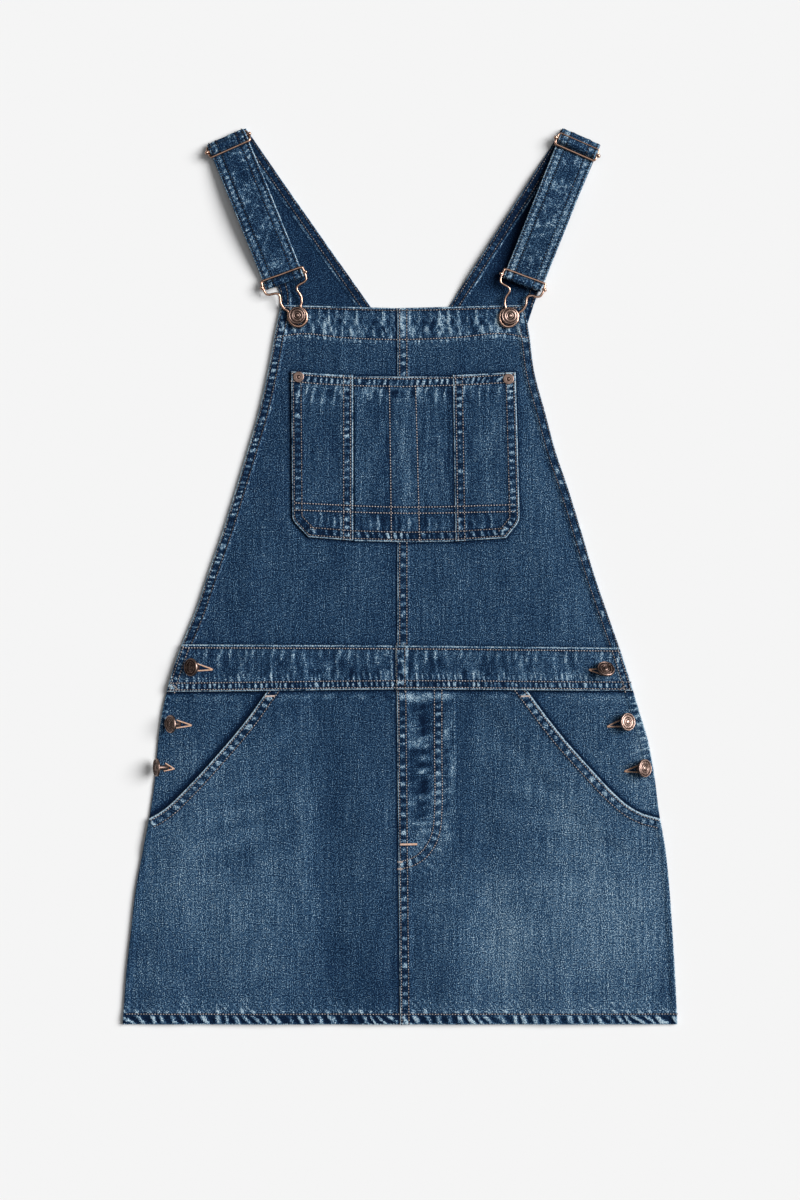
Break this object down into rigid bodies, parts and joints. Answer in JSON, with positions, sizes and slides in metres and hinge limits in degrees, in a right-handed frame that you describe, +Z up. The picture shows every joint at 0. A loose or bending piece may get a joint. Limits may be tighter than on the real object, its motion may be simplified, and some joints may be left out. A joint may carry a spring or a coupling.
{
  "type": "overall skirt",
  "caption": "Denim dungaree dress laid flat: skirt, bib with pocket, back bib, waistband, hip pockets, shoulder straps with buckles and sliders, side buttons.",
  "frame": {"origin": "on the surface the garment lies on, under the middle of its outline", "axes": "+Z up from the surface, +Y from the hem to the shoulders, +X to the right as seen from above"},
  "size_m": [0.5108, 0.8251, 0.0195],
  "materials": {
    "denim": "washed indigo twill, faded thighs and worn edges",
    "denim_inside": "washed indigo twill, plain",
    "rose_wire": "polished rose-copper plated wire",
    "aged_copper": "aged copper, darkened in its hollows",
    "thread": "copper-brown sewing thread"
  },
  "bodies": {
    "root": {"back_skirt": "denim_inside", "back_waistband": "denim_inside", "back_bib": "denim_inside", "front_skirt_left": "denim", "front_skirt_right": "denim", "side_panel_left": "denim", "side_panel_right": "denim", "front_waistband_left": "denim", "front_waistband_right": "denim", "bib_left": "denim", "bib_right": "denim", "bib_pocket_left": "denim", "bib_pocket_middle": "denim", "bib_pocket_right": "denim", "strap_left": "denim", "strap_right": "denim", "slider_left": "rose_wire", "slider_right": "rose_wire", "buckle_left": "rose_wire", "buckle_right": "rose_wire", "bib_button_left": "aged_copper", "bib_button_right": "aged_copper", "side_button_left_1": "aged_copper", "side_button_left_2": "aged_copper", "side_button_left_3": "aged_copper", "side_button_right_1": "aged_copper", "side_button_right_2": "aged_copper", "side_button_right_3": "aged_copper", "rivet_left": "aged_copper", "rivet_right": "aged_copper"}
  },
  "joints": []
}
